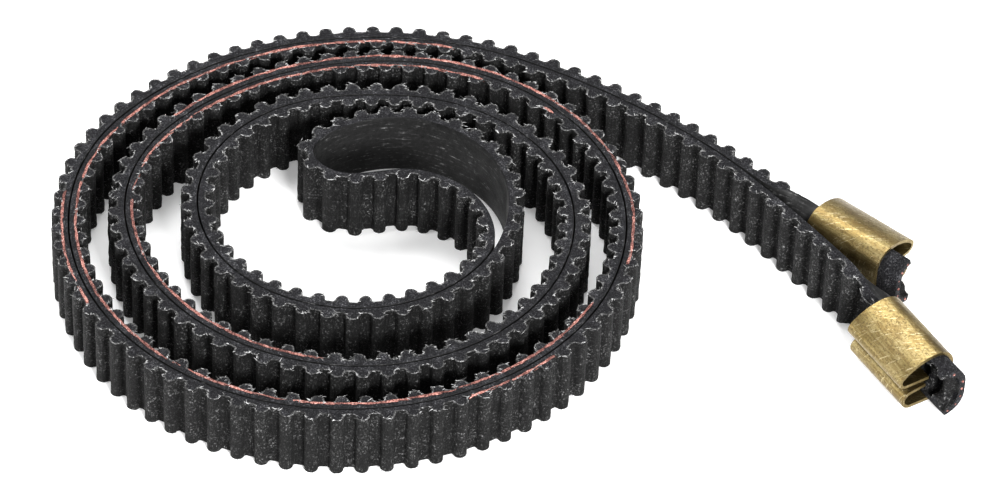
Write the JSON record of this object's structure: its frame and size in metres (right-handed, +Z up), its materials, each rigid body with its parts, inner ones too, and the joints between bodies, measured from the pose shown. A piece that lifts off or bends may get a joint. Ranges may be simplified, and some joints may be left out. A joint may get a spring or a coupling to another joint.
{
  "type": "timing_belt",
  "caption": "Open-ended 2 mm pitch toothed belt with a crimped brass ferrule on each end, folded in half and coiled on edge",
  "frame": {"origin": "middle of the coil's foot, under the centre of the whole part's plan box", "axes": "+X runs along the long side of the coiled part towards the ferrules, +Z is up along the belt's width"},
  "size_m": [0.076, 0.0482, 0.006],
  "materials": {
    "belt_rubber": "matte",
    "nylon_facing": "woven",
    "tension_cord": "twisted yarn",
    "ferrule_brass": "worn satin"
  },
  "bodies": {
    "coil": {"rear_rubber_fold": "belt_rubber", "rear_facing_fold": "nylon_facing", "rear_rubber_coil_1": "belt_rubber", "rear_facing_coil_1": "nylon_facing", "rear_rubber_coil_2": "belt_rubber", "rear_facing_coil_2": "nylon_facing", "rear_rubber_coil_3": "belt_rubber", "rear_facing_coil_3": "nylon_facing", "rear_rubber_coil_4": "belt_rubber", "rear_facing_coil_4": "nylon_facing", "rear_cords_coil": "tension_cord", "front_rubber_fold": "belt_rubber", "front_facing_fold": "nylon_facing", "front_rubber_coil_1": "belt_rubber", "front_facing_coil_1": "nylon_facing", "front_rubber_coil_2": "belt_rubber", "front_facing_coil_2": "nylon_facing", "front_rubber_coil_3": "belt_rubber", "front_facing_coil_3": "nylon_facing", "front_rubber_coil_4": "belt_rubber", "front_facing_coil_4": "nylon_facing", "front_cords_coil": "tension_cord"},
    "turn_left": {"rear_rubber_left": "belt_rubber", "rear_facing_left": "nylon_facing", "rear_cords_left": "tension_cord", "front_rubber_left": "belt_rubber", "front_facing_left": "nylon_facing", "front_cords_left": "tension_cord"},
    "turn_top": {"rear_rubber_top": "belt_rubber", "rear_facing_top": "nylon_facing", "rear_cords_top": "tension_cord", "front_rubber_top": "belt_rubber", "front_facing_top": "nylon_facing", "front_cords_top": "tension_cord"},
    "tails": {"rear_rubber_tail": "belt_rubber", "rear_facing_tail": "nylon_facing", "rear_cords_tail": "tension_cord", "front_rubber_tail": "belt_rubber", "front_facing_tail": "nylon_facing", "front_cords_tail": "tension_cord"},
    "rear_end": {"rear_rubber_end": "belt_rubber", "rear_facing_end": "nylon_facing", "rear_cords_end": "tension_cord", "rear_curled_end": "belt_rubber", "rear_curled_cords": "tension_cord", "rear_ferrule": "ferrule_brass"},
    "front_end": {"front_rubber_end": "belt_rubber", "front_facing_end": "nylon_facing", "front_cords_end": "tension_cord", "front_curled_end": "belt_rubber", "front_curled_cords": "tension_cord", "front_ferrule": "ferrule_brass"}
  },
  "joints": [
    {"name": "turn_left_flex", "type": "hinge", "parent": "coil", "child": "turn_left", "pos_m": [-0.03328, -0.01187, 0.003], "axis": [0, 0, 1], "range_deg": [0, 18], "stiffness_Nm_per_rad": 0.0006},
    {"name": "turn_top_flex", "type": "hinge", "parent": "turn_left", "child": "turn_top", "pos_m": [-0.02784, 0.0167, 0.003], "axis": [0, 0, 1], "range_deg": [0, 25], "stiffness_Nm_per_rad": 0.0006},
    {"name": "tails_flex", "type": "hinge", "parent": "turn_top", "child": "tails", "pos_m": [0.00592, 0.01786, 0.003], "axis": [0, 0, 1], "range_deg": [-5, 25], "stiffness_Nm_per_rad": 0.0006},
    {"name": "rear_end_flex", "type": "hinge", "parent": "tails", "child": "rear_end", "pos_m": [0.01893, 0.00933, 0.003], "axis": [0, 0, 1], "range_deg": [0, 20], "stiffness_Nm_per_rad": 0.0003},
    {"name": "front_end_flex", "type": "hinge", "parent": "tails", "child": "front_end", "pos_m": [0.01792, 0.00822, 0.003], "axis": [0, 0, 1], "range_deg": [-25, 0], "stiffness_Nm_per_rad": 0.0003}
  ]
}
